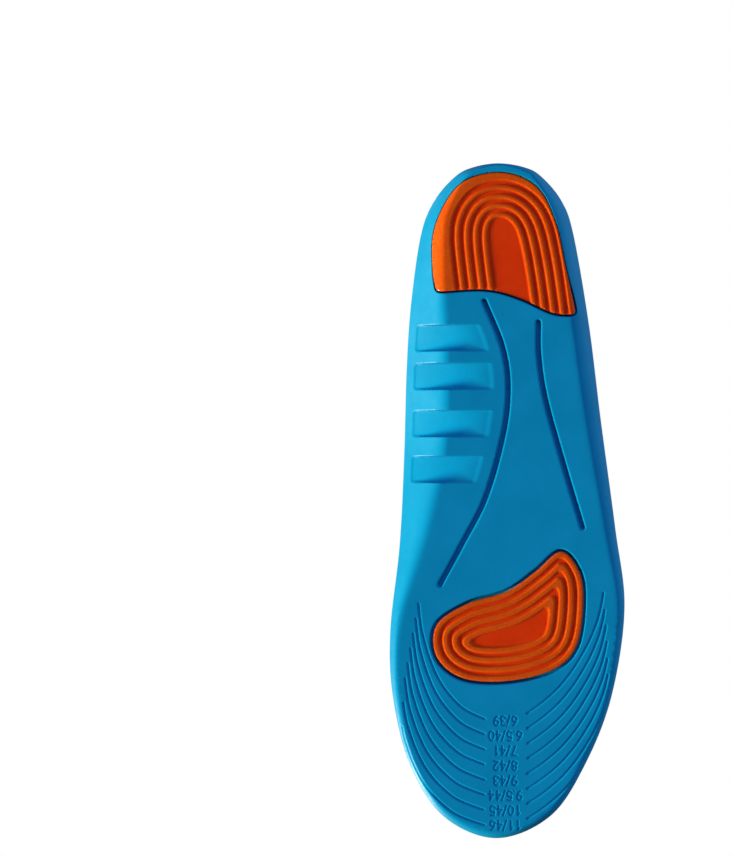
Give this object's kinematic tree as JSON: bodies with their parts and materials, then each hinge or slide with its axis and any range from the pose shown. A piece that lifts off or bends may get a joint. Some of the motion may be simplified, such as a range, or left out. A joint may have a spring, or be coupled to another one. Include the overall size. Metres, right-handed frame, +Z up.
{
  "type": "cushioned insole",
  "caption": "Full-length cushioned shoe insole for the right foot: suede-faced moulded foam with a heel cup, arch support and gel pads under heel and ball.",
  "frame": {"origin": "middle of the plan's box, on the surface that the insole lies on", "axes": "+Z up to the foot, +Y to the toe, +X to the little toe"},
  "size_m": [0.1042, 0.3, 0.0264],
  "materials": {
    "microsuede": "matt brushed microsuede",
    "cover_backing": "matt cream foam-backed knit",
    "adhesive": "thin hot-melt film",
    "foam": "satin moulded skin",
    "gel": "glossy soft gel"
  },
  "bodies": {
    "root": {"top_cover": "microsuede", "cover_backing": "cover_backing", "cover_adhesive": "adhesive", "foam_base": "foam", "heel_gel_pad": "gel", "heel_pad_adhesive": "adhesive", "forefoot_gel_pad": "gel", "forefoot_pad_adhesive": "adhesive"}
  },
  "joints": []
}
